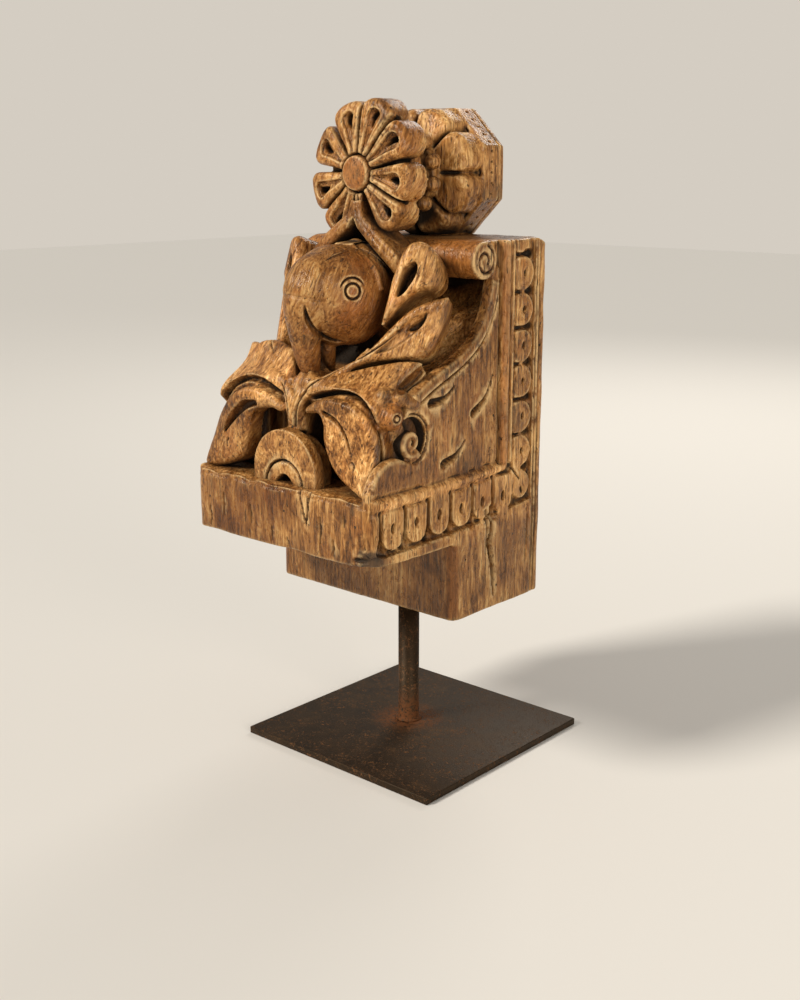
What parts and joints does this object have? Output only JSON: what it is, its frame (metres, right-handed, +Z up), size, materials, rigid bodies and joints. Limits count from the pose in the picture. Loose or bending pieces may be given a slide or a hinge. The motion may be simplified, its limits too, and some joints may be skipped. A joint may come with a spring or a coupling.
{
  "type": "carved wooden corbel on stand",
  "caption": "Old carved wooden corbel with a bird's head, curling leaves, a flower and an octagonal rosette, held up on a steel rod with a square foot plate.",
  "frame": {"origin": "on the underside of the foot plate, on the axis of the rod", "axes": "+Z up along the rod, -Y towards the carved front of the corbel, +X to the right as seen from the front"},
  "size_m": [0.205, 0.245, 0.5176],
  "materials": {
    "old_wood": "old carved hardwood, dry and waxed, with dark streaks along the grain, pale worn edges and dark hollows",
    "black_steel": "blackened steel with rust specks and a rusty bloom round the foot of the rod"
  },
  "bodies": {
    "root": {"carved_corbel": "old_wood", "stand_rod": "black_steel", "foot_plate": "black_steel"}
  },
  "joints": []
}
